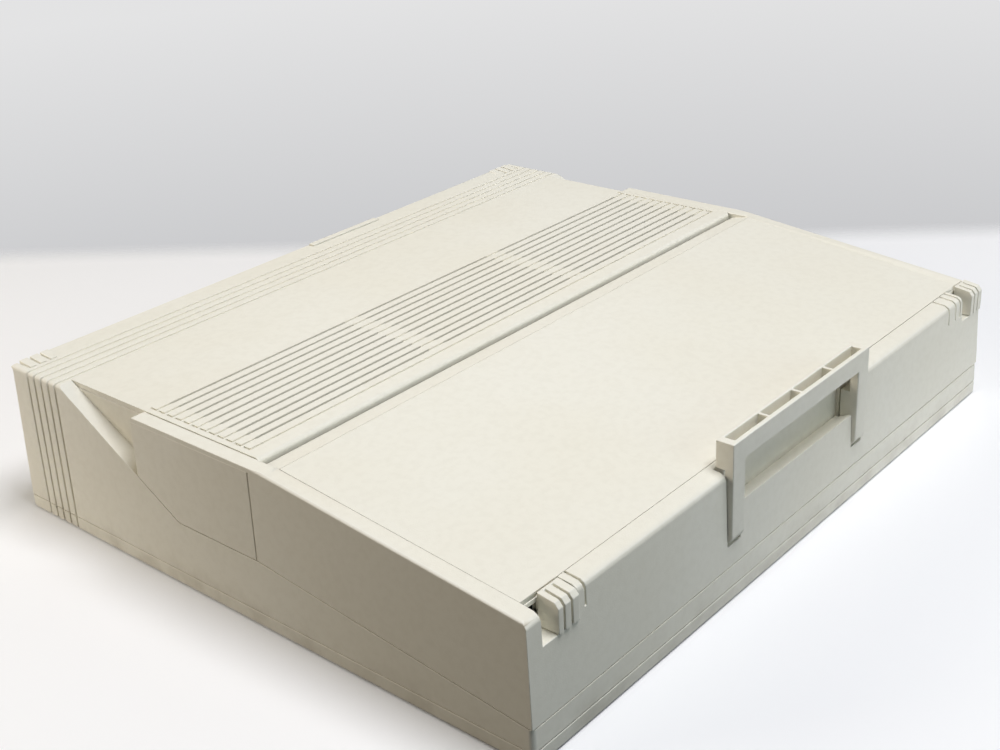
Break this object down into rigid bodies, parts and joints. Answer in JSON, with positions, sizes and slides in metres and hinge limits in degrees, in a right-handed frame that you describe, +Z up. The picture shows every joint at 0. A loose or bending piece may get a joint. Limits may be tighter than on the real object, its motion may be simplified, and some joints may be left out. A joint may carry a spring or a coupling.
{
  "type": "luggable computer",
  "caption": "Wedge-shaped luggable computer with a deep display lid on rear arms, carrying handle, sliding latches, keyboard, drives and louvred top cover.",
  "frame": {"origin": "centre of the base on the surface it stands on", "axes": "+X to the right seen from the handle side, +Y from the handle side to the rear, +Z up"},
  "size_m": [0.405, 0.3502, 0.0838],
  "materials": {
    "ivory_plastic": "fine moulded texture, slightly yellowed",
    "ivory_plastic_dull": "fine moulded texture, one shade darker",
    "key_ivory": "fine matt texture, worn smooth on the tops",
    "key_grey": "fine matt texture, worn smooth on the tops",
    "switch_plate": "black-coated plate with switch bodies",
    "circuit_board": "green solder mask",
    "plated_steel": "zinc plated, dull",
    "plated_shell": "bright plated",
    "pin_steel": "machined",
    "cast_aluminium": "as cast",
    "drive_body": "matt dark grey",
    "black_plastic": "fine matt texture",
    "black_rubber": "matt",
    "lamp_lens": "tinted, glossy",
    "screen_glass": "dark, slightly matt"
  },
  "bodies": {
    "base": {"base_tray": "ivory_plastic", "main_housing": "ivory_plastic", "top_cover": "ivory_plastic", "front_panel": "ivory_plastic_dull", "keyboard_plate": "switch_plate", "keyboard_board": "circuit_board", "motherboard": "circuit_board", "riser_board": "circuit_board", "lower_card": "circuit_board", "upper_card": "circuit_board", "power_supply": "plated_steel", "fan_frame": "black_plastic", "drive_cage": "plated_steel", "floppy_drive": "drive_body", "hard_disk": "cast_aluminium", "speaker": "black_plastic", "dial_board": "circuit_board", "status_lamps": "lamp_lens", "rear_panel": "plated_steel", "port_connectors": "plated_shell", "mains_inlet": "black_plastic", "flap_pin": "pin_steel", "hinge_pin_left": "pin_steel", "hinge_pin_right": "pin_steel", "hinge_bracket_left": "plated_steel", "hinge_bracket_right": "plated_steel", "latch_catches": "plated_steel", "rubber_feet": "black_rubber", "tilt_pins": "pin_steel", "case_screws": "pin_steel"},
    "lid": {"lid_frame": "ivory_plastic", "lid_back_panel": "ivory_plastic", "cheek_left": "ivory_plastic", "cheek_right": "ivory_plastic", "screen_bezel": "ivory_plastic_dull", "screen_glass": "screen_glass", "display_module": "drive_body", "backlight_board": "circuit_board", "handle_pins": "pin_steel"},
    "handle": {"handle": "ivory_plastic"},
    "latch": {"latch_slider_left": "ivory_plastic", "latch_slider_right": "ivory_plastic", "latch_bar": "pin_steel"},
    "eject_button": {"eject_button": "key_grey"},
    "disk_flap": {"disk_flap": "black_plastic"},
    "brightness_dial": {"brightness_dial": "black_plastic"},
    "contrast_dial": {"contrast_dial": "black_plastic"},
    "power_switch": {"power_switch": "black_plastic"},
    "port_flap": {"port_flap": "ivory_plastic"},
    "tilt_foot_left": {"tilt_foot_left": "black_plastic"},
    "tilt_foot_right": {"tilt_foot_right": "black_plastic"},
    "fan": {"fan_rotor": "black_plastic"},
    "keys_function": {"keys_function": "key_grey"},
    "keys_number": {"keys_number": "key_ivory"},
    "keys_upper": {"keys_upper": "key_ivory"},
    "keys_home": {"keys_home": "key_ivory"},
    "keys_lower": {"keys_lower": "key_ivory"},
    "keys_bottom": {"keys_bottom": "key_grey"},
    "space_bar": {"space_bar": "key_ivory"},
    "keys_pad": {"keys_pad": "key_ivory"}
  },
  "joints": [
    {"name": "lid_hinge", "type": "hinge", "parent": "base", "child": "lid", "pos_m": [0, 0.0561, 0.074], "axis": [-1, 0, 0], "range_deg": [0, 112]},
    {"name": "handle_pivot", "type": "hinge", "parent": "lid", "child": "handle", "pos_m": [0, -0.1704, 0.0358], "axis": [1, 0, 0], "range_deg": [0, 95]},
    {"name": "latch_slide", "type": "slide", "parent": "lid", "child": "latch", "axis": [1, 0, 0], "range_m": [-0.0085, 0]},
    {"name": "keys_function_press", "type": "slide", "parent": "base", "child": "keys_function", "axis": [0, -0.1063, 0.9943], "range_m": [-0.0035, 0], "stiffness_N_per_m": 2550},
    {"name": "keys_number_press", "type": "slide", "parent": "base", "child": "keys_number", "axis": [0, -0.1063, 0.9943], "range_m": [-0.0035, 0], "stiffness_N_per_m": 2100},
    {"name": "keys_upper_press", "type": "slide", "parent": "base", "child": "keys_upper", "axis": [0, -0.1063, 0.9943], "range_m": [-0.0035, 0], "stiffness_N_per_m": 2100},
    {"name": "keys_home_press", "type": "slide", "parent": "base", "child": "keys_home", "axis": [0, -0.1063, 0.9943], "range_m": [-0.0035, 0], "stiffness_N_per_m": 1950},
    {"name": "keys_lower_press", "type": "slide", "parent": "base", "child": "keys_lower", "axis": [0, -0.1063, 0.9943], "range_m": [-0.0035, 0], "stiffness_N_per_m": 1950},
    {"name": "keys_bottom_press", "type": "slide", "parent": "base", "child": "keys_bottom", "axis": [0, -0.1063, 0.9943], "range_m": [-0.0035, 0], "stiffness_N_per_m": 1200},
    {"name": "space_bar_press", "type": "slide", "parent": "base", "child": "space_bar", "axis": [0, -0.1063, 0.9943], "range_m": [-0.0035, 0], "stiffness_N_per_m": 300},
    {"name": "keys_pad_press", "type": "slide", "parent": "base", "child": "keys_pad", "axis": [0, -0.1063, 0.9943], "range_m": [-0.0035, 0], "stiffness_N_per_m": 2550},
    {"name": "eject_press", "type": "slide", "parent": "base", "child": "eject_button", "axis": [0, 1, 0], "range_m": [0, 0.003], "stiffness_N_per_m": 300},
    {"name": "disk_flap_hinge", "type": "hinge", "parent": "base", "child": "disk_flap", "pos_m": [0.1206, -0.0015, 0.0602], "axis": [1, 0, 0], "range_deg": [0, 75], "stiffness_Nm_per_rad": 0.003},
    {"name": "brightness_turn", "type": "hinge", "parent": "base", "child": "brightness_dial", "pos_m": [-0.092, -0.0089, 0.058], "axis": [0, 1, 0], "range_deg": [-135, 135]},
    {"name": "contrast_turn", "type": "hinge", "parent": "base", "child": "contrast_dial", "pos_m": [-0.07, -0.0089, 0.058], "axis": [0, 1, 0], "range_deg": [-135, 135]},
    {"name": "power_rocker", "type": "hinge", "parent": "base", "child": "power_switch", "pos_m": [-0.101, 0.1698, 0.05], "axis": [-1, 0, 0], "range_deg": [0, 14]},
    {"name": "port_flap_hinge", "type": "hinge", "parent": "base", "child": "port_flap", "pos_m": [0.0365, 0.17253, 0.03], "axis": [-1, 0, 0], "range_deg": [0, 100]},
    {"name": "tilt_left_hinge", "type": "hinge", "parent": "base", "child": "tilt_foot_left", "pos_m": [-0.135, 0.1521, 0.0028], "axis": [1, 0, 0], "range_deg": [0, 85]},
    {"name": "tilt_right_hinge", "type": "hinge", "parent": "base", "child": "tilt_foot_right", "pos_m": [0.135, 0.1521, 0.0028], "axis": [1, 0, 0], "range_deg": [0, 85]},
    {"name": "fan_spin", "type": "hinge", "parent": "base", "child": "fan", "pos_m": [-0.15, 0.1661, 0.036], "axis": [0, 1, 0], "continuous": true}
  ]
}
